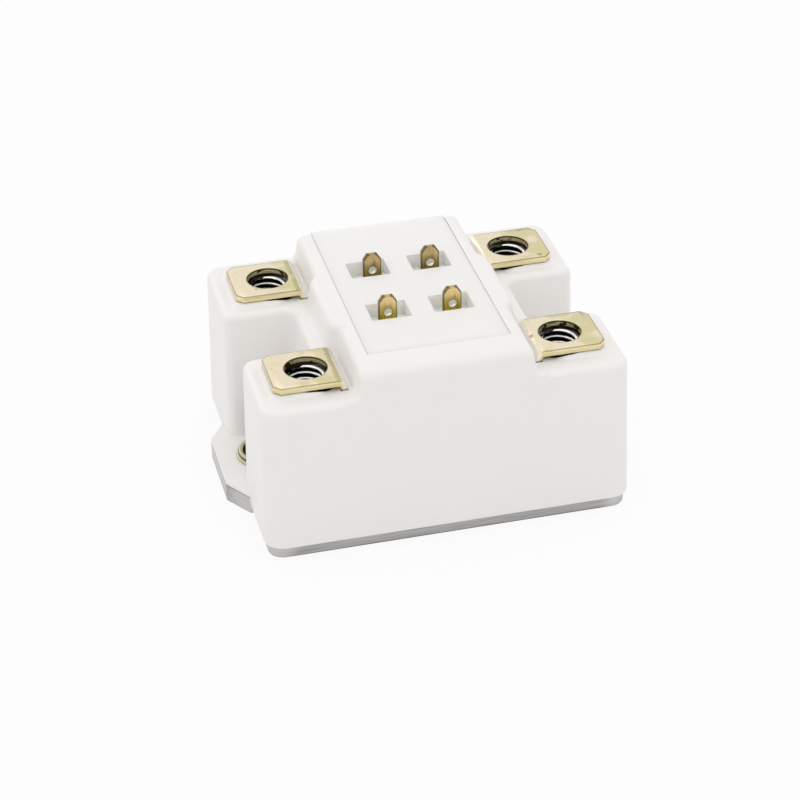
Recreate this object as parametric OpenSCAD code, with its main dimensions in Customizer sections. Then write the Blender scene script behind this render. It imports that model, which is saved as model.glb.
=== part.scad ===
// IGBT power module in a white moulded housing: two switches on one ceramic
// substrate, four M6 screw terminals, four tab contacts and two riveted mounting lugs.
// Origin: centre of the mounting face. +X runs from lug to lug, +Z is up.

/* [Housing] */
// Width of the housing at its lower edge
body_w = 56.6; // [54:0.2:60]
// Depth of the housing at its lower edge
body_d = 48.2; // [46:0.2:50]
// Height of the lower edge above the mounting face
skirt_z = 2; // [1:0.1:2.5]
// Height of the four terminal towers
tower_z = 24.9; // [24:0.1:27]
// Height of the ridge between the towers
ridge_z = 29.4; // [28.5:0.1:31]
// Radius of the four upright corners
corner_r = 3; // [2:0.1:4]
// Rounding of the top edges
edge_r = 1; // [0.5:0.1:1.4]
// Draft of the sides and notches, in degrees
side_draft = 1.1; // [0.5:0.1:1.5]
// Draft of the front and back, in degrees
end_draft = 2.2; // [1:0.1:2.5]
// Distance of the notch floor wall from the centre, at the lower edge
notch_x = 17.5; // [17.3:0.1:18.2]
// Half width of the notch over each lug, at the lower edge
notch_y = 5.95; // [5.5:0.05:6.2]
// Thickness of the plastic foot that lies on each lug
foot_t = 0.5; // [0.4:0.1:1]

/* [Ridge and lid] */
// Half width of the ridge beside the terminals, at its top
ridge_half = 13; // [12.8:0.05:13.1]
// Draft of the ridge's sides, in degrees
ridge_draft = 8; // [4:0.5:8]
// Rounding of the ridge's top edges
crest_r = 1.2; // [0.8:0.1:1.3]
// How far the ridge bulges out between the terminals
bulge = 1.15; // [0.4:0.05:1.2]
// Distance of the ridge's back wall from the centre
ridge_back = 21.9; // [21.5:0.1:22.5]
// Radius of the shoulders where the ridge runs out at its ends
shoulder_r = 1.8; // [1:0.1:2]
// Height of the lid's face at the back; at the front it lies flush with the ridge
lid_z = 29.5; // [29.4:0.05:29.8]
// Half width of the lid
lid_half = 10.85; // [10.2:0.05:10.9]
// Gap between the lid and the ridge, on each side
lid_gap = 0.06; // [0.04:0.01:0.2]
// Size of a contact pocket, along X and along Y
pocket = [6.1, 4.9];
// Distance of the pockets from the centre plane
pocket_x = 4.85; // [4.6:0.05:5]

/* [Terminals] */
// Spacing of the screw terminals along X
term_dx = 39; // [38.5:0.1:39.5]
// Spacing of the screw terminals along Y
term_dy = 28; // [27.8:0.1:28.4]
// Height of the terminals' contact faces
term_z = 26.5; // [26.2:0.1:27]
// Thickness of the terminal strip
term_t = 1; // [0.8:0.1:1.2]
// Width of the terminal strip
term_w = 10.1; // [9.6:0.1:10.4]
// Clearance hole for the screw
term_hole = 6.3; // [6.2:0.1:6.6]
// Width of a tab contact
tab_w = 2.8; // [2.6:0.1:3]
// Thickness of a tab contact
tab_t = 0.8; // [0.5:0.1:0.8]
// Height of the tips of the tab contacts
tab_z = 32; // [31:0.1:33]

/* [Base plate] */
// Thickness of the base plate
base_t = 3; // [2.5:0.1:3.2]
// How far the plate's edge lies inside the housing
base_inset = 0.55; // [0.5:0.05:0.8]
// Length of the plate over both lugs
lug_w = 62.3; // [61:0.1:63]
// Half width of a lug at its end
lug_tip = 6.2; // [5.5:0.1:6.5]
// Half width of a lug where it leaves the plate
lug_root = 10.65; // [10:0.05:11]
// Spacing of the two mounting holes
mount_dx = 47.5; // [47:0.1:48]
// Inner diameter of the hollow rivets
mount_d = 6.7; // [6.2:0.1:6.8]

/* [Substrate] */
// Thickness of the solder and copper under the ceramic
under_t = 0.3; // [0.2:0.05:0.5]
// Thickness of the ceramic
ceramic_t = 0.63; // [0.38:0.01:1]
// Thickness of the copper tracks
track_t = 0.3; // [0.2:0.05:0.4]
// Thickness of a chip with its solder
chip_t = 0.25; // [0.15:0.05:0.35]
// Diameter of the aluminium bond wires
wire_d = 0.38; // [0.3:0.01:0.5]
// Level of the silicone gel
gel_z = 9; // [8.5:0.1:10.5]

/* [Hidden] */
$fn = 64;

fit = 0.05;                      // working clearance between pieces
wall = 1.9;                      // wall of the housing
lid_t = 2.2;                     // thickness of the lid's plate
lid_front = -17.5;               // front end of the lid
lid_floor = lid_z - lid_t;       // floor of the channel that the lid lies in
pocket_y = [-5.8, 7.5];          // front and back row of pockets
pocket_floor = 26.2;             // floor inside a pocket
well_wall = 0.75;                // wall of a pocket
hall_z = 12;                     // roof of the chamber over the substrate
attic_z = lid_floor - 2;         // roof of the chamber inside the ridge
leg_x = term_dx / 2 - 5.2;       // outer face of a terminal's leg, from the centre plane
slot_x = [leg_x - 0.1, leg_x + term_t + 0.1];
bend_r = 0.5;                    // inner radius of the terminal's bends
nut_af = 10;                     // width of the nut across its flats
nut_h = 5;
nut_z = 24.7;                    // top face of the nuts
nut_bore = 5;                    // minor diameter of the thread
flange_r = 4.5;                  // outer radius of a rivet's flanges
flange_t = 1;                    // its upper flange, rolled over twice
barrel_t = 0.4;                  // wall of a rivet's barrel
ceramic_z = base_t + under_t;
track_z = ceramic_z + ceramic_t;
chip_z = track_z + track_t;
die_z = chip_z + chip_t;
sub_half = [15.3, 21];           // half size of the ceramic
igbt_at = [-11.1, 7.3];
igbt_size = 7.2;
diode_at = [-11.1, -0.4];
diode_size = 6;
control_x = 3.75;                // centre of the gate and sense tracks

white = [0.93, 0.93, 0.90];
gold = [0.83, 0.76, 0.58];
steel = [0.74, 0.74, 0.74];
copper = [0.80, 0.52, 0.35];

// ---- Outlines and lofts ----

function arc(c, r, a0, a1, n) =
    [for (i = [0:n]) let (a = a0 + (a1 - a0) * i / n) [c.x + r * cos(a), c.y + r * sin(a)]];
function flip_x(p) = [for (i = [len(p) - 1:-1:0]) [-p[i].x, p[i].y]];
function flip_y(p) = [for (i = [len(p) - 1:-1:0]) [p[i].x, -p[i].y]];

// Four towers seen from above: a rounded rectangle with a notch in each side.
// Everything shrinks by inset, and the ends by end_inset more.
function tower_outline(inset, end_inset) =
    let (
        floor_r = 1.2,
        hx = body_w / 2,
        hy = body_d / 2 - end_inset,
        half = function(mouth_r) let (right = concat(
            arc([notch_x + floor_r, notch_y - floor_r], floor_r + inset, 180, 90, 4),
            arc([hx - mouth_r, notch_y + mouth_r], mouth_r - inset, -90, 0, 5),
            arc([hx - corner_r, hy - corner_r], corner_r - inset, 0, 90, 8)
        )) concat(right, flip_x(right))
    )
    concat(half(1.6), flip_y(half(2.6)));

function rise(z, angle) = (z - skirt_z) * tan(angle);
function end_y(z) = body_d / 2 - rise(z, end_draft);

function ease(t) = let (u = min(1, max(0, t))) u * u * (3 - 2 * u);
// Share of the bulge at y: all of it between the terminals, none beside them
function swell(y) = ease((9.1 - abs(y)) / 2.6);
// Share of the shoulder's radius at y: none beside the terminals, all of it at both ends
function shoulder(y) = max(ease((-19.3 - y) / 1.15), ease((y - 19.2) / 0.65), 0.5 * swell(y));
ridge_ys = [
    for (y = [-20.45:0.23:-19.2]) y, for (y = [-9.1:0.52:-6.4]) y,
    for (y = [6.5:0.52:9.2]) y, 19.2, 19.4, 19.6, 19.8
];

// One level of the ridge. inset rounds the top edges, flare widens the foot.
function ridge_outline(z, inset, flare) =
    let (
        front_r = 1.3,
        back_r = 0.8,
        front = -end_y(z) + inset,
        back = ridge_back - (z - ridge_z) * tan(side_draft) - inset,
        half = ridge_half - (z - ridge_z) * tan(ridge_draft) - inset,
        side = concat(
            arc([half + flare - front_r, front + front_r], front_r, -90, 0, 5),
            [for (y = ridge_ys) [half + bulge * swell(y) + flare * shoulder(y), y]],
            arc([half + flare - back_r, back - back_r], back_r, 0, 90, 5)
        )
    )
    concat(side, flip_x(side));

// Skin over a stack of outlines with equally many points, each [z, outline].
// A point may have a third number, which raises it above its level.
module loft(levels) {
    n = len(levels[0][1]);
    m = len(levels);
    points = [for (l = levels) for (p = l[1]) [p.x, p.y, l[0] + (len(p) > 2 ? p.z : 0)]];
    sides = [
        for (k = [0:m - 2]) for (i = [0:n - 1])
            let (a = k * n + i, b = k * n + (i + 1) % n)
            each [[a, a + n, b], [b, a + n, b + n]]
    ];
    polyhedron(
        points = points,
        faces = concat([[for (i = [0:n - 1]) i]], sides, [[for (i = [n - 1:-1:0]) (m - 1) * n + i]])
    );
}

// Box with upright rounded edges
module slab(lo, hi, z0, z1, r) {
    translate([0, 0, z0]) linear_extrude(z1 - z0) rounded(lo, hi, r);
}
module rounded(lo, hi, r) {
    translate([lo.x + r, lo.y]) square([hi.x - lo.x - 2 * r, hi.y - lo.y]);
    translate([lo.x, lo.y + r]) square([hi.x - lo.x, hi.y - lo.y - 2 * r]);
    for (x = [lo.x + r, hi.x - r]) for (y = [lo.y + r, hi.y - r]) translate([x, y]) circle(r);
}
module box(lo, hi) {
    translate(lo) cube(hi - lo);
}

// ---- Base plate and its hollow rivets ----

module plate_outline(gap) {
    half = [body_w / 2 - base_inset + gap, body_d / 2 - base_inset + gap];
    rounded(-half, half, corner_r - base_inset + gap);
    lug_outline(gap);
}
module lug_outline(gap) {
    tip_x = lug_w / 2 + gap;
    root_x = body_w / 2 + gap;
    polygon([
        [root_x, -lug_root - gap], [tip_x, -lug_tip - gap], [tip_x, lug_tip + gap], [root_x, lug_root + gap],
        [-root_x, lug_root + gap], [-tip_x, lug_tip + gap], [-tip_x, -lug_tip - gap], [-root_x, -lug_root - gap]
    ]);
}
module base_plate() {
    color(steel) difference() {
        linear_extrude(base_t) plate_outline(0);
        for (s = [-1, 1]) translate([s * mount_dx / 2, 0, -1]) {
            cylinder(r = mount_d / 2 + barrel_t + fit, h = base_t + 2);
            cylinder(r = flange_r + 0.2, h = 1.8);
        }
    }
}

// Barrel with a rolled flange at each end
module rivet(s) {
    bore = mount_d / 2;
    seat = base_t + foot_t;
    top = seat + flange_t;
    low = 0.15;
    roll = flange_t / 4;
    color(gold) translate([s * mount_dx / 2, 0, 0]) rotate_extrude() difference() {
        union() {
            translate([bore, low]) square([barrel_t, top - low]);
            for (f = [[flange_r, low], [flange_r, seat], [flange_r - 0.4, seat + 2 * roll]]) {
                translate([bore, f[1]]) square([f[0] - bore - roll, 2 * roll]);
                translate([f[0] - roll, f[1] + roll]) circle(roll);
            }
        }
        for (z = [top, low]) translate([bore, z]) rotate(45) square(0.3, center = true);
    }
}
module rivet_left() { rivet(-1); }
module rivet_right() { rivet(1); }

// ---- Housing ----

module towers() {
    steps = [for (a = [0:22.5:90]) a];
    levels = concat(
        [[skirt_z, tower_outline(0, 0)]],
        [for (a = steps)
            let (z = tower_z - edge_r + edge_r * sin(a), lean = rise(z, side_draft))
            [z, tower_outline(lean + edge_r * (1 - cos(a)), rise(z, end_draft) - lean)]]
    );
    loft(levels);
}
module ridge() {
    foot = [for (a = [0:22.5:90]) [tower_z + shoulder_r * (1 - cos(a)), shoulder_r * (1 - sin(a))]];
    crest = [for (a = [0:22.5:90]) [ridge_z - crest_r + crest_r * sin(a), crest_r * (1 - cos(a))]];
    loft(concat(
        [[tower_z - 1.5, ridge_outline(tower_z - 1.5, 0, shoulder_r)]],
        [for (f = foot) [f[0], ridge_outline(f[0], 0, f[1])]],
        [for (c = crest) [c[0], ridge_outline(c[0], c[1], 0)]]
    ));
}

// Everything that is hollow above the substrate
module hall(gap) {
    half = [notch_x - wall - gap, body_d / 2 - wall - gap];
    lobe = [body_w / 2 - wall - gap, notch_y + wall + gap];
    slab(-half, half, base_t - 1, hall_z, 1.5);
    for (s = [-1, 1]) scale([1, s, 1])
        slab([-lobe.x, lobe.y], [lobe.x, half.y], base_t - 1, hall_z, 1.5);
}
module attic() {
    slab([-ridge_half + wall, -body_d / 2 + 2.9], [ridge_half - wall, ridge_back - wall],
         hall_z - 1, attic_z, 1);
}
module terminal_places() {
    for (sx = [-1, 1]) for (sy = [-1, 1]) scale([sx, sy, 1]) translate([term_dx / 2, term_dy / 2, 0])
        children();
}
module housing() {
    clear = 0.15;
    color(white) difference() {
        // one closed skin of exactly the stated size
        resize([lug_w, body_d, ridge_z - skirt_z]) union() {
            towers();
            ridge();
            translate([0, 0, base_t - 0.5]) linear_extrude(foot_t + 0.5) lug_outline(0);
        }
        // seat of the base plate, and the holes of the rivets
        translate([0, 0, -1]) linear_extrude(base_t + 1) plate_outline(clear);
        for (s = [-1, 1]) translate([s * mount_dx / 2, 0, 0])
            cylinder(r = mount_d / 2 + barrel_t + fit, h = base_t + 3);
        hall(0);
        attic();
        // channel of the lid, and the window that its pockets hang through
        box([-lid_half - lid_gap, lid_front - 0.02, lid_floor], [lid_half + lid_gap, body_d, lid_z + 1]);
        slab([-9.4, pocket_y[0] - 4.2], [9.4, pocket_y[1] + 4.2], attic_z - 1, lid_floor + 1, 1);
        // seats of the nuts, room for the screws' ends, and slots for the legs
        terminal_places() {
            translate([0, 0, nut_z - nut_h]) rotate(30) cylinder(d = (nut_af + 0.4) / cos(30), h = 10, $fn = 6);
            translate([0, 0, 14.5]) cylinder(d = 7, h = 10);
        }
        for (s = [-1, 1]) for (t = [-1, 1]) scale([s, t, 1])
            box([slot_x[0], (term_dy - term_w) / 2 - 0.25, hall_z - 1],
                [slot_x[1], (term_dy + term_w) / 2 + 0.25, tower_z + 1]);
    }
}

// ---- Lid with its four pockets ----

module lid() {
    crown = 0.25;
    back = ridge_back - 0.35;
    levels = concat(
        [[lid_floor, lid_outline(back, 0, 0)]],
        [for (a = [0:30:90]) let (drop = crown * (1 - sin(a)))
            [lid_z - drop, lid_outline(back, crown * (1 - cos(a)), ridge_z - lid_z + drop * 0.9)]]
    );
    color(white) difference() {
        union() {
            loft(levels);
            for (y = pocket_y) for (s = [-1, 1]) pocket_block(s * pocket_x, y, well_wall, pocket_floor - 1.2, lid_z - 0.5);
        }
        for (y = pocket_y) for (s = [-1, 1]) pocket_block(s * pocket_x, y, 0, pocket_floor, lid_z + 1);
        for (t = tab_places) box(
            [t.x - tab_w / 2 - fit, t.y - tab_t / 2 - fit, pocket_floor - 2],
            [t.x + tab_w / 2 + fit, t.y + tab_t / 2 + fit, pocket_floor + 1]
        );
    }
}
// The rounding of its long edges runs out to nothing at the front
function lid_outline(back, d, lift) = [
    [-lid_half, lid_front, lift], [lid_half, lid_front, lift], [lid_half - d, back - d], [-lid_half + d, back - d]
];
module pocket_block(x, y, grow, z0, z1) {
    half = pocket / 2 + [grow, grow];
    box([x - half.x, y - half.y, z0], [x + half.x, y + half.y, z1]);
}

// ---- Screw terminals: a strip bent down, then in under the ridge ----

module terminal(sx, sy) {
    outer_r = bend_r + term_t;
    leg = term_dx / 2 - leg_x;
    tail = leg + 3.4;
    reach = 5.8;
    color(gold) scale([sx, sy, 1]) translate([term_dx / 2, term_dy / 2, 0]) scale([-1, 1, 1]) difference() {
        rotate([90, 0, 0]) linear_extrude(term_w, center = true) {
            translate([-reach, term_z - term_t]) square([reach + leg - outer_r, term_t]);
            quarter_bend([leg - outer_r, term_z - outer_r], outer_r, 0);
            translate([leg - term_t, chip_z + outer_r]) square([term_t, term_z - chip_z - 2 * outer_r]);
            quarter_bend([leg + bend_r, chip_z + outer_r], outer_r, 180);
            translate([leg + bend_r, chip_z]) square([tail - leg - bend_r, term_t]);
        }
        cylinder(d = term_hole, h = 60, center = true);
        // sheared outer corners of the contact face
        for (s = [-1, 1]) scale([1, s, 1]) translate([-reach, -term_w / 2, term_z - 3]) linear_extrude(6)
            polygon([[-1, -1], [1, -1], [1, 0], [0, 1.1], [-1, 1.1]]);
        // window that clears the nut
        box([leg - term_t - 1, -3.6, nut_z - nut_h - 0.4], [leg + 1, 3.6, nut_z + 0.1]);
        // narrow leg below the slot
        for (s = [-1, 1]) scale([1, s, 1]) box([0, 2.5, 0], [tail + 1, 8, hall_z + 6]);
    }
}
module quarter_bend(c, r, turn) {
    translate(c) rotate(turn) difference() {
        intersection() {
            circle(r);
            square(r);
        }
        circle(r - term_t);
    }
}
module terminal_front_left() { terminal(-1, -1); }
module terminal_front_right() { terminal(1, -1); }
module terminal_back_left() { terminal(-1, 1); }
module terminal_back_right() { terminal(1, 1); }

// ---- Captive hexagon nuts ----

module nut(sx, sy) {
    corner = nut_af / 2 / cos(30);
    bevel = (corner - nut_af / 2) * tan(30);
    color(steel) translate([sx * term_dx / 2, sy * term_dy / 2, nut_z - nut_h]) difference() {
        intersection() {
            rotate(30) cylinder(r = corner, h = nut_h, $fn = 6);
            rotate_extrude() polygon([
                [0, 0], [nut_af / 2, 0], [corner, bevel], [corner, nut_h - bevel], [nut_af / 2, nut_h], [0, nut_h]
            ]);
        }
        translate([0, 0, -1]) cylinder(d = nut_bore, h = nut_h + 2);
        rotate_extrude() polygon([[0, -0.01], [3.1, -0.01], [nut_bore / 2 - 0.01, 0.6], [0, 0.6]]);
        rotate_extrude() polygon([[0, nut_h + 0.01], [3.1, nut_h + 0.01], [nut_bore / 2 - 0.01, nut_h - 0.6], [0, nut_h - 0.6]]);
    }
}
module nut_front_left() { nut(-1, -1); }
module nut_front_right() { nut(1, -1); }
module nut_back_left() { nut(-1, 1); }
module nut_back_right() { nut(1, 1); }

// ---- Tab contacts: a blade, a stem and a foot stamped in one ----

tab_places = [
    [-5, pocket_y[0]], [5, pocket_y[0]],
    [-4.2, pocket_y[1]], [5, pocket_y[1]]
];
module tab(i) {
    at = tab_places[i];
    half = tab_w / 2;
    stem = 0.7;
    blade_z = pocket_floor - 2.2;
    tip = [0.6, 0.9];
    color(gold) translate([at.x, at.y, 0]) difference() {
        union() {
            rotate([90, 0, 0]) linear_extrude(tab_t, center = true) polygon([
                [-stem, chip_z], [stem, chip_z], [stem, blade_z - 0.7], [half, blade_z],
                [half, tab_z - tip.y], [half - tip.x, tab_z], [-half + tip.x, tab_z],
                [-half, tab_z - tip.y], [-half, blade_z], [-stem, blade_z - 0.7]
            ]);
            slab([-1.2, -0.9], [1.2, 0.9], chip_z, chip_z + 0.5, 0.3);
        }
        translate([0, 0, tab_z - 2.7]) rotate([90, 0, 0]) cylinder(d = 1.2, h = 4, center = true, $fn = 32);
    }
}
module tab_front_left() { tab(0); }
module tab_front_right() { tab(1); }
module tab_back_left() { tab(2); }
module tab_back_right() { tab(3); }

// ---- Ceramic substrate, copper tracks and chips ----

module substrate_copper() {
    color(copper) slab(-sub_half + [0.4, 0.4], sub_half - [0.4, 0.4], base_t, ceramic_z, 0.8);
}
module substrate_ceramic() {
    color([0.95, 0.95, 0.97]) slab(-sub_half, sub_half, ceramic_z, track_z, 0.5);
}
// The left switch is drawn, and the right one is its mirror image
module track(s, z, t) {
    color(copper) translate([0, 0, z]) scale([-s, 1, 1]) linear_extrude(t) children();
}
module collector_track(s) {
    track(s, track_z, track_t) polygon([
        [-15, -3.8], [-7.3, -3.8], [-7.3, 10.2], [-0.8, 10.2], [-0.8, 20.6], [-15, 20.6]
    ]);
}
module emitter_track(s) {
    track(s, track_z, track_t) polygon([
        [-15, -20.6], [-0.8, -20.6], [-0.8, -8.9], [-7.3, -8.9], [-7.3, -4.5], [-15, -4.5]
    ]);
}
module control_track(s, y) {
    track(s, track_z, track_t) rounded([-control_x - 2.9, y - 2.2], [-control_x + 2.9, y + 2], 0.4);
}
module chip(s, at, size) {
    color([0.35, 0.36, 0.4]) translate([0, 0, chip_z]) scale([-s, 1, 1]) linear_extrude(chip_t)
        rounded(at - [size, size] / 2, at + [size, size] / 2, 0.15);
}
module collector_track_left() { collector_track(-1); }
module collector_track_right() { collector_track(1); }
module emitter_track_left() { emitter_track(-1); }
module emitter_track_right() { emitter_track(1); }
module gate_track_left() { control_track(-1, pocket_y[1]); }
module gate_track_right() { control_track(1, pocket_y[1]); }
module sense_track_left() { control_track(-1, pocket_y[0]); }
module sense_track_right() { control_track(1, pocket_y[0]); }
module igbt_chip_left() { chip(-1, igbt_at, igbt_size); }
module igbt_chip_right() { chip(1, igbt_at, igbt_size); }
module diode_chip_left() { chip(-1, diode_at, diode_size); }
module diode_chip_right() { chip(1, diode_at, diode_size); }

// ---- Bond wires: six-sided loops whose ends lie flat on what they join ----

// Height of the wire at t from 0 to 1 along it: flat at both ends, with a loop of height h between
function loop_z(z0, z1, t, h) =
    let (u = max(0, min(1, (t - 0.12) / 0.76))) z0 + (z1 - z0) * u + h * pow(sin(180 * u), 1.2);
module bond_wire(a, b, h) {
    r = wire_d / 2;
    steps = 10;
    run = norm([b.x - a.x, b.y - a.y]);
    across = [-(b.y - a.y), b.x - a.x, 0] / run;
    path = [
        for (i = [0:steps]) let (t = i / steps)
            [a.x + (b.x - a.x) * t, a.y + (b.y - a.y) * t, loop_z(a.z, b.z, t, h) + r * cos(30)]
    ];
    function heading(i) =
        i == 0 || i == steps ? [(b.x - a.x) / run, (b.y - a.y) / run, 0]
        : let (d = path[i + 1] - path[i - 1]) d / norm(d);
    points = [
        for (i = [0:steps]) let (up = cross(heading(i), across))
            for (k = [0:5]) path[i] + r * (cos(60 * k) * across + sin(60 * k) * up)
    ];
    sides = [
        for (i = [0:steps - 1]) for (k = [0:5])
            let (p = i * 6 + k, q = i * 6 + (k + 1) % 6)
            each [[p, p + 6, q], [q, p + 6, q + 6]]
    ];
    polyhedron(points = points, faces = concat([[for (k = [0:5]) k]], sides, [[for (k = [5:-1:0]) steps * 6 + k]]));
}
module emitter_wires(s) {
    color([0.85, 0.85, 0.86]) scale([-s, 1, 1]) for (i = [-1.5:1:1.5]) {
        x = igbt_at.x + 1.5 * i;
        bond_wire([x, igbt_at.y - 1.5, die_z], [x, diode_at.y + 0.5, die_z], 2.2);
        bond_wire([x, diode_at.y - 0.5, die_z], [x, -6.6, chip_z], 2);
    }
}
module control_wires(s) {
    color([0.85, 0.85, 0.86]) scale([-s, 1, 1]) {
        bond_wire([igbt_at.x + 2.9, igbt_at.y, die_z], [-6.2, igbt_at.y, chip_z], 0.8);
        bond_wire([-8.3, -6.6, chip_z], [-6.3, -6.6, chip_z], 0.6);
    }
}
module emitter_wires_left() { emitter_wires(-1); }
module emitter_wires_right() { emitter_wires(1); }
module control_wires_left() { control_wires(-1); }
module control_wires_right() { control_wires(1); }

// ---- Silicone gel that covers the chips and wires ----

module silicone_gel() {
    color([0.8, 0.85, 0.9, 0.4]) difference() {
        intersection() {
            hall(0.02);
            box([-50, -50, base_t], [50, 50, gel_z]);
        }
        substrate_copper();
        substrate_ceramic();
        for (s = [-1, 1]) {
            collector_track(s);
            emitter_track(s);
            for (y = pocket_y) control_track(s, y);
            chip(s, igbt_at, igbt_size);
            chip(s, diode_at, diode_size);
            emitter_wires(s);
            control_wires(s);
            for (t = [-1, 1]) terminal(s, t);
        }
        for (i = [0:3]) tab(i);
    }
}

base_plate();
housing();
lid();
rivet_left();
rivet_right();
terminal_front_left();
terminal_front_right();
terminal_back_left();
terminal_back_right();
nut_front_left();
nut_front_right();
nut_back_left();
nut_back_right();
tab_front_left();
tab_front_right();
tab_back_left();
tab_back_right();
substrate_copper();
substrate_ceramic();
collector_track_left();
collector_track_right();
emitter_track_left();
emitter_track_right();
gate_track_left();
gate_track_right();
sense_track_left();
sense_track_right();
igbt_chip_left();
igbt_chip_right();
diode_chip_left();
diode_chip_right();
emitter_wires_left();
emitter_wires_right();
control_wires_left();
control_wires_right();
silicone_gel();
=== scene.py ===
import math

import bpy
from mathutils import Matrix, Vector


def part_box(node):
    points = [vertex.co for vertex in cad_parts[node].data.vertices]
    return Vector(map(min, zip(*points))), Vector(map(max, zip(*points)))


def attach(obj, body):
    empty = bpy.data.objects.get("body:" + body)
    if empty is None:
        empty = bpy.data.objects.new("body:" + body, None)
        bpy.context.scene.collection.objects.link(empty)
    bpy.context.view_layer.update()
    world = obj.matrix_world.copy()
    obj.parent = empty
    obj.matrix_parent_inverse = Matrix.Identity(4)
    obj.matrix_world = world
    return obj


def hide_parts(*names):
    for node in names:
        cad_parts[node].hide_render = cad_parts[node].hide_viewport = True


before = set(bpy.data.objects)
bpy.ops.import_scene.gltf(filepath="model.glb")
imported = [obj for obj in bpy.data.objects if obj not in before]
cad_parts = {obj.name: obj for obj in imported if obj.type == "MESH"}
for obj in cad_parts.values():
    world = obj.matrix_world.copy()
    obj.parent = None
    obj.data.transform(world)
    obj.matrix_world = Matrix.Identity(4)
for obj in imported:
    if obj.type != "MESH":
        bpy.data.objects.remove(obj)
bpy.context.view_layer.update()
mm = 0.001


# ---- The view and the studio ----
# The module lies on a wide white table in a tent of soft white light. The camera looks down
# on its front left corner through a long lens.

def aim(turn, rise, roll):
    """The camera's axes: turned to the left of the front, raised, then rolled, in degrees."""
    t, e, r = (math.radians(v) for v in (turn, rise, roll))
    back = Vector((-math.sin(t) * math.cos(e), -math.cos(t) * math.cos(e), math.sin(e)))
    level = (-back).cross(Vector((0, 0, 1))).normalized()
    upright = level.cross(-back)
    right = math.cos(r) * level + math.sin(r) * upright
    up = math.cos(r) * upright - math.sin(r) * level
    return Matrix((right, up, back)).transposed()


def soft_box(name, place, size, power):
    """A square lamp that faces the module."""
    lamp = bpy.data.lights.new(name, "AREA")
    lamp.shape, lamp.size, lamp.energy = "SQUARE", size, power
    thing = bpy.data.objects.new(name, lamp)
    thing.location = place
    thing.rotation_euler = (module_middle - Vector(place)).to_track_quat("-Z", "Y").to_euler()
    bpy.context.scene.collection.objects.link(thing)


view = bpy.data.cameras.new("camera")
view.sensor_width, view.lens = 36, 115.58
view.clip_start, view.clip_end = 0.02, 20
camera = bpy.data.objects.new("camera", view)
bpy.context.scene.collection.objects.link(camera)
camera_stand = Vector((-81.25, -331.51, 221.51)) * mm
camera.matrix_world = Matrix.Translation(camera_stand) @ aim(13.45, 31.87, -1.16).to_4x4()
bpy.context.scene.camera = camera
bpy.context.scene.view_settings.view_transform = "Standard"

tent_strength = 0.93
world = bpy.data.worlds.new("tent")
world.use_nodes = True
bpy.context.scene.world = world
sky = world.node_tree
sky.nodes.clear()
sky_out = sky.nodes.new("ShaderNodeOutputWorld")
sky_light = sky.nodes.new("ShaderNodeBackground")
sky_light.inputs["Color"].default_value = (1, 1, 1, 1)
sky_light.inputs["Strength"].default_value = tent_strength
sky.links.new(sky_light.outputs[0], sky_out.inputs["Surface"])

module_middle = Vector((0, 0, 20 * mm))
soft_box("lamp_above", (0.05, 0.10, 0.9), size=0.9, power=0.7)
soft_box("lamp_behind", (-0.42, 0.92, 0.36), size=0.5, power=0.6)

# To the camera and in reflections the paper is nearly plain white. Otherwise it is card, which
# takes the module's shadow.
table_width, table_gap = 6, 0.05 * mm
glow_share = 0.9
bpy.ops.mesh.primitive_plane_add(size=table_width, location=(0, 0, -table_gap))
floor = bpy.context.active_object
floor.name = "table_top"
paper = bpy.data.materials.new("white_paper")
paper.use_nodes = True
nodes, links = paper.node_tree.nodes, paper.node_tree.links
nodes.clear()
out = nodes.new("ShaderNodeOutputMaterial")
card = nodes.new("ShaderNodeBsdfDiffuse")
card.inputs["Color"].default_value = (0.86, 0.86, 0.85, 1)
glow = nodes.new("ShaderNodeEmission")
glow.inputs["Strength"].default_value = 1
blend = nodes.new("ShaderNodeMixShader")
path = nodes.new("ShaderNodeLightPath")
direct = nodes.new("ShaderNodeMath")
direct.operation = "MAXIMUM"
seen = nodes.new("ShaderNodeMath")
seen.operation = "MULTIPLY"
seen.inputs[1].default_value = glow_share
links.new(path.outputs["Is Camera Ray"], direct.inputs[0])
links.new(path.outputs["Is Glossy Ray"], direct.inputs[1])
links.new(direct.outputs[0], seen.inputs[0])
links.new(seen.outputs[0], blend.inputs[0])
links.new(card.outputs[0], blend.inputs[1])
links.new(glow.outputs[0], blend.inputs[2])
links.new(blend.outputs[0], out.inputs["Surface"])
floor.data.materials.append(paper)


# ---- The moulded housing ----
# One injection moulding in white glass-filled polyester: four towers with a notch over each
# lug, and the ridge between them. The mould leaves a fine satin grain and soft edges.

class Wire:
    """A node's output. Sums and products of wires add Math nodes."""

    def __init__(self, finish, socket):
        self.finish, self.socket = finish, socket

    def calc(self, how, a, b=0.0):
        return self.finish.node("ShaderNodeMath", {"operation": how}, {0: a, 1: b})

    def __add__(self, other): return self.calc("ADD", self, other)
    def __radd__(self, other): return self.calc("ADD", other, self)
    def __sub__(self, other): return self.calc("SUBTRACT", self, other)
    def __rsub__(self, other): return self.calc("SUBTRACT", other, self)
    def __mul__(self, other): return self.calc("MULTIPLY", self, other)
    def __rmul__(self, other): return self.calc("MULTIPLY", other, self)
    def __pow__(self, other): return self.calc("POWER", self, other)
    def __abs__(self): return self.calc("ABSOLUTE", self)


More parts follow.
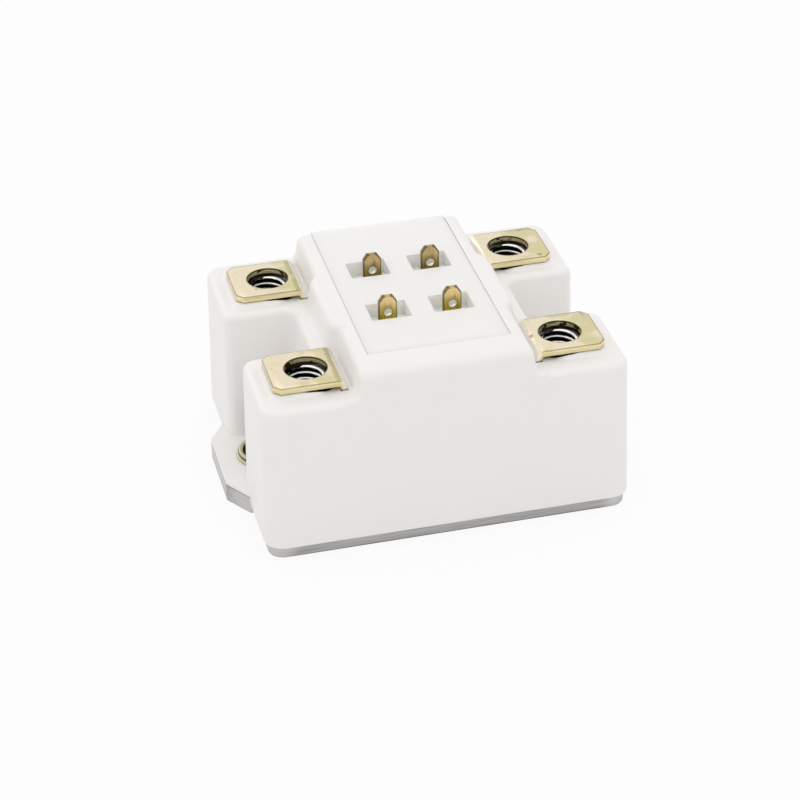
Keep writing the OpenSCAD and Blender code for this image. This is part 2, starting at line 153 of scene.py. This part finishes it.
class Finish:
    """A material built from nodes round one Principled shader."""

    def __init__(self, name, **fixed):
        self.material = bpy.data.materials.new(name)
        self.material.use_nodes = True
        self.tree = self.material.node_tree
        self.shader = self.tree.nodes["Principled BSDF"]
        for socket, value in fixed.items():
            self.shader.inputs[socket.replace("_", " ")].default_value = value
        self.place = self.node("ShaderNodeTexCoord", {}, {}, "Object")

    def node(self, kind, settings, sockets, output=0):
        """A new node's output, with its settings made first and its sockets set or linked."""
        made = self.tree.nodes.new(kind)
        for key, value in settings.items():
            setattr(made, key, value)
        for key, value in sockets.items():
            if isinstance(value, Wire):
                self.tree.links.new(value.socket, made.inputs[key])
            elif made.inputs[key].type == "RGBA":
                made.inputs[key].default_value = (*value, 1)
            else:
                made.inputs[key].default_value = value
        return Wire(self, made.outputs[output])

    def noise(self, scale, detail, stretch=None):
        """Even noise from 0 to 1, in cycles for each metre."""
        at = self.place
        if stretch:
            at = self.node("ShaderNodeMapping", {}, {"Vector": at, "Scale": stretch})
        return self.node(
            "ShaderNodeTexNoise", {}, {"Vector": at, "Scale": scale, "Detail": detail}, "Fac")

    def axes(self):
        """The place on the piece along X, Y and Z, in millimetres."""
        split = self.node("ShaderNodeSeparateXYZ", {}, {0: self.place}).socket.node
        return [Wire(self, output) * 1000.0 for output in split.outputs]

    def largest(self, first, *others):
        """The largest of several values at each point."""
        for other in others:
            first = self.node("ShaderNodeMath", {"operation": "MAXIMUM"}, {0: first, 1: other})
        return first

    def step(self, value, low, high):
        """0 at low, 1 at high, smooth between and level beyond. Either end may be the larger."""
        return self.node("ShaderNodeMapRange", {"interpolation_type": "SMOOTHSTEP"},
                         {"Value": value, "From Min": low, "From Max": high})

    def tint(self, mask, first, second):
        """first where the mask is 0, second where it is 1."""
        return self.node("ShaderNodeMix", {"data_type": "RGBA"}, {0: mask, 6: first, 7: second}, 2)

    def bump(self, height, depth, strength, under=None):
        """A normal for a height from 0 to 1 that is depth metres deep, over another one."""
        sockets = {"Height": height, "Distance": depth, "Strength": strength}
        if under:
            sockets["Normal"] = under
        return self.node("ShaderNodeBump", {}, sockets)

    def use(self, **sockets):
        """Link wires to the shader's sockets."""
        for socket, wire in sockets.items():
            self.tree.links.new(wire.socket, self.shader.inputs[socket.replace("_", " ")])


crease = math.radians(35)


def select_only(piece):
    bpy.ops.object.select_all(action="DESELECT")
    piece.select_set(True)
    bpy.context.view_layer.objects.active = piece


def finished(node, edge=0.0):
    """A copy of a CAD node, merged, with sharp edges broken by edge and with smooth curves."""
    piece = bpy.data.objects.new(node + "_finished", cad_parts[node].data.copy())
    bpy.context.scene.collection.objects.link(piece)
    piece.data.materials.clear()
    select_only(piece)
    bpy.ops.mesh.customdata_custom_splitnormals_clear()
    bpy.ops.object.mode_set(mode="EDIT")
    bpy.ops.mesh.select_all(action="SELECT")
    bpy.ops.mesh.remove_doubles(threshold=0.002 * mm)
    if edge:
        bpy.ops.mesh.dissolve_limited(angle_limit=math.radians(0.6))
    bpy.ops.object.mode_set(mode="OBJECT")
    if edge:
        soft = piece.modifiers.new("edges", "BEVEL")
        soft.width, soft.segments = edge, 2
        soft.limit_method, soft.angle_limit = "ANGLE", crease
        soft.use_clamp_overlap = False
        soft.miter_outer = "MITER_ARC"
        bpy.ops.object.modifier_apply(modifier="edges")
    bpy.ops.object.shade_smooth_by_angle(angle=crease)
    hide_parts(node)
    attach(piece, "root")
    return piece


def drawn(name, points, edges, faces):
    """A loose surface or line, made straight from its points in metres."""
    sketch = bpy.data.meshes.new(name)
    sketch.from_pydata(points, edges, faces)
    thing = bpy.data.objects.new(name, sketch)
    bpy.context.scene.collection.objects.link(thing)
    return thing


def join(piece, *others):
    """The others become part of the piece."""
    select_only(piece)
    for other in others:
        other.select_set(True)
    bpy.ops.object.join()
    bpy.ops.object.shade_smooth_by_angle(angle=crease)


bolt_x, bolt_y = 19.5, 14.0             # the middle of each nut and of the hole over it
strip_reach, strip_half = 5.8, 5.05     # from there to a terminal's outer end and its sides


def raised_seat(side, end):
    """The low swell round a nut's seat, which the terminal lies on."""
    shelf, crown = 24.86, 25.42         # heights of the tower's top and of the swell
    half_flats, corner = 5.2, 5.14      # the hexagonal seat, whose corners are cut short
    lip = 0.5                           # how far the swell goes down into the seat
    past_end, past_side = 7.0, 6.3      # how far out it spreads from the nut's middle
    apron, slope = 0.95, 1.15           # where it ends past the strip, and its slope's width
    open_at, taper = 118, 26            # degrees from the outer side to its ends, which taper
    spokes, rows = 90, 9
    rings = []
    for spoke in range(spokes):
        turn = open_at * (2 * spoke / (spokes - 1) - 1)
        along, beside = math.cos(math.radians(turn)), math.sin(math.radians(turn))
        off_flat = math.radians((turn + 30) % 60 - 30)
        inner = min(half_flats / math.cos(off_flat), corner)
        outer = past_side / max(abs(beside), 0.01)
        if along > 0:
            outer = min(outer, past_end / along)
        fade = min(1.0, (open_at - abs(turn)) / taper)
        ring = [(inner * along, inner * beside, shelf - lip)]
        for row in range(rows):
            r = inner + max(outer - inner, 0.02) * row / (rows - 1)
            past = max(r * along - strip_reach, abs(r * beside) - strip_half)
            lift = min(1.0, max(0.0, (apron - past) / slope)) * fade
            lift = lift * lift * (3 - 2 * lift)
            ring.append((r * along, r * beside, shelf + (crown - shelf) * lift))
        rings.append(ring)
    n = rows + 1
    return drawn(
        "raised_seat",
        [((bolt_x + x) * side * mm, (bolt_y + y) * end * mm, z * mm)
         for ring in rings for x, y, z in ring],
        [],
        [(i * n + k, i * n + k + 1, (i + 1) * n + k + 1, (i + 1) * n + k)[::-side * end]
         for i in range(spokes - 1) for k in range(rows)])


white = Finish("white_moulding", Roughness=0.42, IOR=1.5)
grain = white.noise(5200, 3)
waves = white.noise(140, 2)
white.use(
    Base_Color=white.tint(waves, (0.885, 0.860, 0.842), (0.900, 0.878, 0.862)),
    Roughness=0.38 + 0.12 * white.noise(900, 2),
    Normal=white.bump(grain, 0.012 * mm, 0.35, white.bump(waves, 0.04 * mm, 0.25)),
)
housing = finished("housing")
join(housing, *[raised_seat(side, end) for side in (-1, 1) for end in (-1, 1)])
housing.data.materials.append(white.material)


# ---- The lid ----
# A second moulding in the same plastic, let into the channel along the ridge. Its four wells
# guide the plugs to the tabs, and light passes a little through their thin walls. Their insides
# are also coloured lighter, as painted light.

lid_top = 29.5
drawn_floor, real_floor = 26.2, 27.1    # of the wells: the solid's are too deep
well = Finish("white_well", Roughness=0.5, IOR=1.5, Subsurface_Weight=0.4,
              Subsurface_Radius=(1.0, 0.95, 0.9), Subsurface_Scale=0.002)
x, _, z = well.axes()
# Painted light: inside the wells the colour is made lighter than the rest of the lid.
wells_painted_light = well.step(z, lid_top - 0.15, lid_top - 0.3) * well.step(abs(x), 8.6, 8.2)
well.use(
    Base_Color=well.tint(wells_painted_light, (0.888, 0.868, 0.846), (0.97, 0.97, 0.95)),
    Roughness=0.38 + 0.12 * well.noise(900, 2),
    Normal=well.bump(well.noise(5200, 3), 0.012 * mm, 0.35),
)
lid = finished("lid")
for point in lid.data.vertices:
    if abs(point.co.z - drawn_floor * mm) < 0.02 * mm:
        point.co.z = real_floor * mm
lid.data.materials.append(well.material)


# ---- The base plate ----
# Nickel-plated copper, stamped to shape and ground flat underneath, where it lies on the heat
# sink. Its edge has a smooth sheared band and a torn one. Dark rims of painted shadow run along
# the edge's top, under the housing, and along its foot, less at the lugs, whose edges are
# painted lighter as a painted reflection.

edge_middle = 1.45                      # of the height that shows under the housing
plate_finish = Finish("nickel_plate", Metallic=1.0, Roughness=0.35)
x, _, z = plate_finish.axes()
lines = plate_finish.noise(5200, 4, (0.03, 0.03, 1))
torn = plate_finish.noise(2600, 5)
ground = plate_finish.noise(900, 4, (0.06, 1, 1))
band = plate_finish.step(z, 0.5, 1.1)
# Painted shadow: dark bands along the top of the edge, under the housing's skirt, and along its foot.
rim = plate_finish.step(abs(z - edge_middle), edge_middle - 0.29, edge_middle - 0.11)
lug = plate_finish.step(abs(x), 23.0, 25.5)
underside = plate_finish.step(z, 0.06, 0.02)
plain = plate_finish.tint(lines, (0.21, 0.205, 0.20), (0.60, 0.59, 0.575))
# Painted reflection: the lugs' edges are coloured lighter, standing in for the table that they
# reflect.
lug_painted_reflection = plate_finish.tint(lines, (0.45, 0.44, 0.43), (0.68, 0.67, 0.655))
edges = plate_finish.tint(
    rim * (1 - 0.7 * lug), plate_finish.tint(lug, plain, lug_painted_reflection), (0.13, 0.125, 0.12))
plate_finish.use(
    Base_Color=plate_finish.tint(
        underside, edges, plate_finish.tint(ground, (0.56, 0.55, 0.53), (0.76, 0.75, 0.73))),
    Roughness=0.46 - 0.14 * band + 0.12 * torn + 0.1 * underside * ground,
    Normal=plate_finish.bump(
        torn * (1 - band), 0.05 * mm, 0.6, plate_finish.bump(lines, 0.02 * mm, 0.4)),
)
plate = finished("base_plate", 0.15 * mm)
flat = plate.modifiers.new("flat_faces", "WEIGHTED_NORMAL")
flat.weight, flat.keep_sharp = 100, True
bpy.ops.object.modifier_apply(modifier="flat_faces")
plate.data.materials.append(plate_finish.material)


# ---- The hollow rivets ----
# Drawn brass eyelets that hold the housing to the base plate. The upper flange is rolled over
# twice on the foot of the housing, and the heat sink's screw goes through the bore.

rivet_x, groove_r, bore_r = 23.75, 4.12, 3.5
rivet_finish = Finish("rivet_brass", Metallic=1.0, Roughness=0.3)
x, y, _ = rivet_finish.axes()
out_by = ((abs(x) - rivet_x) ** 2.0 + y * y) ** 0.5
dull = rivet_finish.noise(1500, 4)
# Painted shade: the groove where the flange rolls over is darkened, and the bore is painted near
# black.
groove_shade = rivet_finish.step(abs(out_by - groove_r), 0.14, 0.03)
bore = rivet_finish.step(out_by, bore_r, bore_r - 0.12)
rivet_finish.use(
    Base_Color=rivet_finish.tint(
        rivet_finish.largest(groove_shade * 0.4, bore),
        rivet_finish.tint(dull, (0.44, 0.43, 0.28), (0.76, 0.74, 0.56)), (0.05, 0.045, 0.03)),
    Roughness=0.26 + 0.2 * dull + 0.3 * bore,
    Normal=rivet_finish.bump(dull, 0.02 * mm, 0.4),
)
for side in ("left", "right"):
    rivet = finished("rivet_" + side)
    rivet.data.materials.append(rivet_finish.material)


# ---- The screw terminals ----
# Copper strip with a pale gold plating, stamped, bent down and let into the housing. The
# sheared edges are yellower than the faces, and the plating is tarnished in patches.

strip_top, strip_under = 26.5, 25.46
hole_r = 3.15
cut_lean, cut_at, cut_scale = 0.909, 9.39, 0.74
stain_x, stain_y = 15.1, -13.9
gold = Finish("pale_gold_plating", Metallic=1.0, Roughness=0.22)
x, y, z = gold.axes()

# Distances from the hole's middle and from the strip's outline, which is negative inside.
across, along = abs(x) - bolt_x, abs(abs(y) - bolt_y)
from_hole = (across * across + along * along) ** 0.5
outline = gold.largest(
    along - strip_half, across - strip_reach, (across + along * cut_lean - cut_at) * cut_scale)

# Where the strip is face, edge, hole wall, bend or foot. The foot line is painted shade, the
# bend a painted highlight, and the line near the bend of the left-hand terminals a painted dark
# reflection.
face = gold.step(z, strip_top - 0.2, strip_top - 0.04)
hole_wall = gold.step(from_hole, hole_r + 0.15, hole_r + 0.03)
in_hole = gold.step(z, 26.38, 26.2) * gold.step(z, 25.6, 25.8)
hem = gold.largest(
    gold.step(outline, -0.24, -0.1), gold.step(from_hole, hole_r + 0.27, hole_r + 0.11)) * face
# Painted shade: a dark line along the lower edge of the strip's sides, where it meets its seat.
foot = gold.step(z, strip_under + 0.16, strip_under + 0.06) * gold.step(across, -4.2, -3.9)
# Painted highlight: the bend is coloured nearly white.
bend_highlight = gold.step(across, -4.1, -4.75)
left = gold.step(x, 0.5, -0.5)
# Painted reflection: a dark line near the bend, only on the left-hand terminals.
crease_dark_reflection = gold.step(abs(across + 3.95), 0.55, 0.2) * left * gold.step(z, 26.2, 26.4)

# What the plating has been through. The dark mix at the end also takes in painted shade.
cloud = gold.noise(210, 3)
brushed = gold.noise(2200, 3, (0.12, 1, 1))
spots = gold.step(gold.noise(620, 2), 0.69, 0.73)
# Tarnish in patches, which also grows steadily towards the right of every terminal.
tarnish = gold.step(gold.noise(300, 2) + 0.035 * (x + 2 * bolt_x * left - bolt_x), 0.44, 0.66)
stain = gold.step(
    ((x - stain_x) ** 2.0 + (y - stain_y) ** 2.0 * 0.4) ** 0.5 + 0.3 * gold.noise(3000, 2), 0.55, 0.3)
# Darkening from the real spots and stain, from the dark line round the face and hole, and from the
# painted shade and painted reflection of the foot and crease lines.
dark = gold.largest(hem * 0.6, foot * 0.8, spots * 0.45, crease_dark_reflection * 0.3, stain * 0.7)

champagne = gold.tint(cloud, (0.86, 0.75, 0.52), (0.90, 0.79, 0.62))
plating = gold.tint(tarnish * 0.75, champagne, (0.67, 0.61, 0.31))
sheared = gold.tint(cloud, (0.78, 0.67, 0.32), (0.95, 0.85, 0.56))
metal = gold.tint(bend_highlight, gold.tint(face, sheared, plating), (0.99, 0.95, 0.86))
shown = gold.tint(dark, metal, gold.tint(stain, (0.13, 0.10, 0.03), (0.42, 0.20, 0.04)))
# Painted shade: the hole's wall is coloured near black, with gold patches only in its middle band.
wall = gold.tint(
    in_hole * gold.step(gold.noise(900, 2), 0.36, 0.5), (0.06, 0.045, 0.015), (0.95, 0.86, 0.50))
gold.use(
    Base_Color=gold.tint(hole_wall, shown, wall),
    Roughness=0.16 + 0.12 * brushed + 0.08 * cloud + 0.2 * spots + 0.25 * hole_wall,
    Normal=gold.bump(brushed, 0.006 * mm, 0.5, gold.bump(cloud, 0.06 * mm, 0.3)),
)
corners = ["front_left", "front_right", "back_left", "back_right"]
for corner in corners:
    terminal = finished("terminal_" + corner, 0.1 * mm)
    terminal.data.materials.append(gold.material)


# ---- The captive nuts ----
# Zinc-plated steel M6 nuts that lie loose in hexagonal seats under the terminals. The thread is
# tapped. Its crests keep the zinc's colour. Its roots are dark with oil and with painted shade,
# and the nuts' outer corners, under the terminals, are painted dark as shade.

pitch, crest_r, root_r, bore_wall_r = 1.0, 2.5, 3.03, 3.02
thread_low, thread_high = 0.7, 0.62     # from the nut's lower and upper face, upwards
zinc = Finish("zinc_steel", Metallic=1.0, Roughness=0.2)
x, y, _ = zinc.axes()
across, along = abs(x) - bolt_x, abs(y) - bolt_y
out_by = (across * across + along * along) ** 0.5
spots = zinc.noise(1800, 3)
# Painted shade, with some oil: near black in the thread's roots and on the nuts' outer part.
oil_and_shade = zinc.largest(
    zinc.step(out_by, crest_r + 0.16, crest_r + 0.34), zinc.step(out_by, root_r + 0.57, root_r + 1.17))
zinc.use(
    Base_Color=zinc.tint(
        oil_and_shade * 0.97, zinc.tint(spots, (0.80, 0.77, 0.74), (0.92, 0.90, 0.88)), (0.035, 0.02, 0.012)),
    Roughness=0.1 + 0.12 * spots,
    Normal=zinc.bump(spots, 0.01 * mm, 0.3),
)


def thread_in(centre, low, high):
    """The flanks of the inside thread, as one helical strip between two heights in metres."""
    profile = [(root_r, 0), (root_r, 0.08), (crest_r, 0.44),
               (crest_r, 0.56), (root_r, 0.92), (root_r, 1)]
    strip = drawn("thread", [(r * mm, 0, part * pitch * mm) for r, part in profile],
                  [(i, i + 1) for i in range(len(profile) - 1)], [])
    select_only(strip)
    wind = strip.modifiers.new("wind", "SCREW")
    wind.angle, wind.screw_offset = math.tau, pitch * mm
    wind.iterations = math.ceil((high - low) / (pitch * mm)) + 1
    wind.steps = wind.render_steps = 48
    bpy.ops.object.modifier_apply(modifier="wind")
    strip.data.transform(Matrix.Translation((centre.x, centre.y, low - pitch * mm)))
    bpy.ops.object.mode_set(mode="EDIT")
    for height, above in ((low, False), (high, True)):
        bpy.ops.mesh.select_all(action="SELECT")
        bpy.ops.mesh.bisect(
            plane_co=(0, 0, height), plane_no=(0, 0, 1), clear_outer=above, clear_inner=not above)
    bpy.ops.mesh.select_all(action="SELECT")
    bpy.ops.mesh.remove_doubles(threshold=0.001 * mm)
    bpy.ops.object.mode_set(mode="OBJECT")
    return strip


for corner in corners:
    low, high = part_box("nut_" + corner)
    centre = (low + high) / 2
    nut = finished("nut_" + corner, 0.08 * mm)
    for point in nut.data.vertices:
        out = Vector((point.co.x - centre.x, point.co.y - centre.y))
        if out.length < 2.9 * mm:
            out *= bore_wall_r * mm / out.length
            point.co.x, point.co.y = centre.x + out.x, centre.y + out.y
    join(nut, thread_in(centre, low.z + thread_low * mm, high.z + thread_high * mm))
    nut.data.materials.append(zinc.material)


# ---- The tab contacts ----
# Stamped brass blades with a hole that a plug latches into, pressed through the lid. They are
# dark along their edges, round the hole and at the tip, rubbed in streaks, darker towards the
# foot, and the back pair has aged more.

tab_x, tab_top = 5.0, 32.0
tab_hole_z, tab_hole_r = 29.3, 0.6
shoulder_z = 31.1
back_left_shift = 0.8                   # that tab stands nearer the middle
tab_finish = Finish("tab_brass", Metallic=1.0, Roughness=0.3)
x, y, z = tab_finish.axes()
rubbed = tab_finish.noise(1500, 4, (1, 1, 0.12))
shift = tab_finish.step(x, 0.1, -0.1) * tab_finish.step(y, -0.1, 0.1) * back_left_shift
beside = abs(abs(x) - tab_x + shift)
cut = beside * 0.83 + (z - shoulder_z) * 0.555 - 1.16
rim = tab_finish.largest(tab_finish.step(beside, 1.16, 1.34), tab_finish.step(cut, -0.3, -0.12))
tip = tab_finish.step(z, tab_top - 0.2, tab_top - 0.05)
from_hole = (beside ** 2.0 + (z - tab_hole_z) ** 2.0) ** 0.5
# Painted light: the hole is coloured pale, standing in for the light seen through it.
in_hole = tab_finish.step(from_hole, tab_hole_r + 0.08, tab_hole_r + 0.01)
ring = tab_finish.step(from_hole, tab_hole_r + 0.25, tab_hole_r + 0.12)
rise = tab_finish.step(z, 28.2, 31.3)
aged = tab_finish.step(y, -0.5, 0.5)
tone = tab_finish.tint(
    rise, tab_finish.tint(aged, (0.50, 0.41, 0.035), (0.30, 0.23, 0.04)),
    tab_finish.tint(aged, (0.80, 0.60, 0.30), (0.58, 0.42, 0.21)))
# Dark marks along the edges, round the hole, at the tip and in rubbed streaks.
dark_marks = tab_finish.largest(
    rim * 0.8, ring * 0.4, tab_finish.step(rubbed, 0.5, 0.7) * 0.4,
    tip * (0.3 + 0.6 * tab_finish.step(beside, 0.25, 0.55)))
tab_finish.use(
    Base_Color=tab_finish.tint(
        in_hole, tab_finish.tint(dark_marks, tone, (0.10, 0.07, 0.02)), (0.84, 0.78, 0.70)),
    Roughness=0.22 + 0.22 * rubbed,
    Normal=tab_finish.bump(rubbed, 0.02 * mm, 0.5),
)
for corner in corners:
    tab = finished("tab_" + corner, 0.07 * mm)
    tab.data.materials.append(tab_finish.material)


# ---- The substrate, chips and wires under the gel ----
# Alumina with copper on both faces, two transistors and two diodes soldered on and joined by
# aluminium wires, all under clear silicone. The closed housing hides them.

def mottled(name, first, second, rough, metallic=1.0):
    """A material that varies a little between two colours."""
    made = Finish(name, Metallic=metallic, Roughness=rough)
    mottle = made.noise(1200, 3)
    made.use(
        Base_Color=made.tint(mottle, first, second),
        Roughness=rough + 0.15 * mottle,
        Normal=made.bump(mottle, 0.01 * mm, 0.3),
    )
    return made.material


inside = {
    "copper": mottled("etched_copper", (0.60, 0.33, 0.20), (0.74, 0.45, 0.30), 0.3),
    "ceramic": mottled("alumina", (0.82, 0.82, 0.80), (0.90, 0.90, 0.88), 0.4, 0.0),
    "chip": mottled("silicon", (0.10, 0.11, 0.13), (0.20, 0.21, 0.25), 0.12),
    "wires": mottled("drawn_aluminium", (0.72, 0.72, 0.73), (0.86, 0.86, 0.87), 0.25),
    "gel": mottled("clear_silicone", (0.75, 0.79, 0.80), (0.82, 0.85, 0.86), 0.1, 0.0),
}
inside["track"] = inside["copper"]
for name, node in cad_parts.items():
    for word, material in inside.items():
        if word in name and not node.hide_render:
            node.data.materials.clear()
            node.data.materials.append(material)
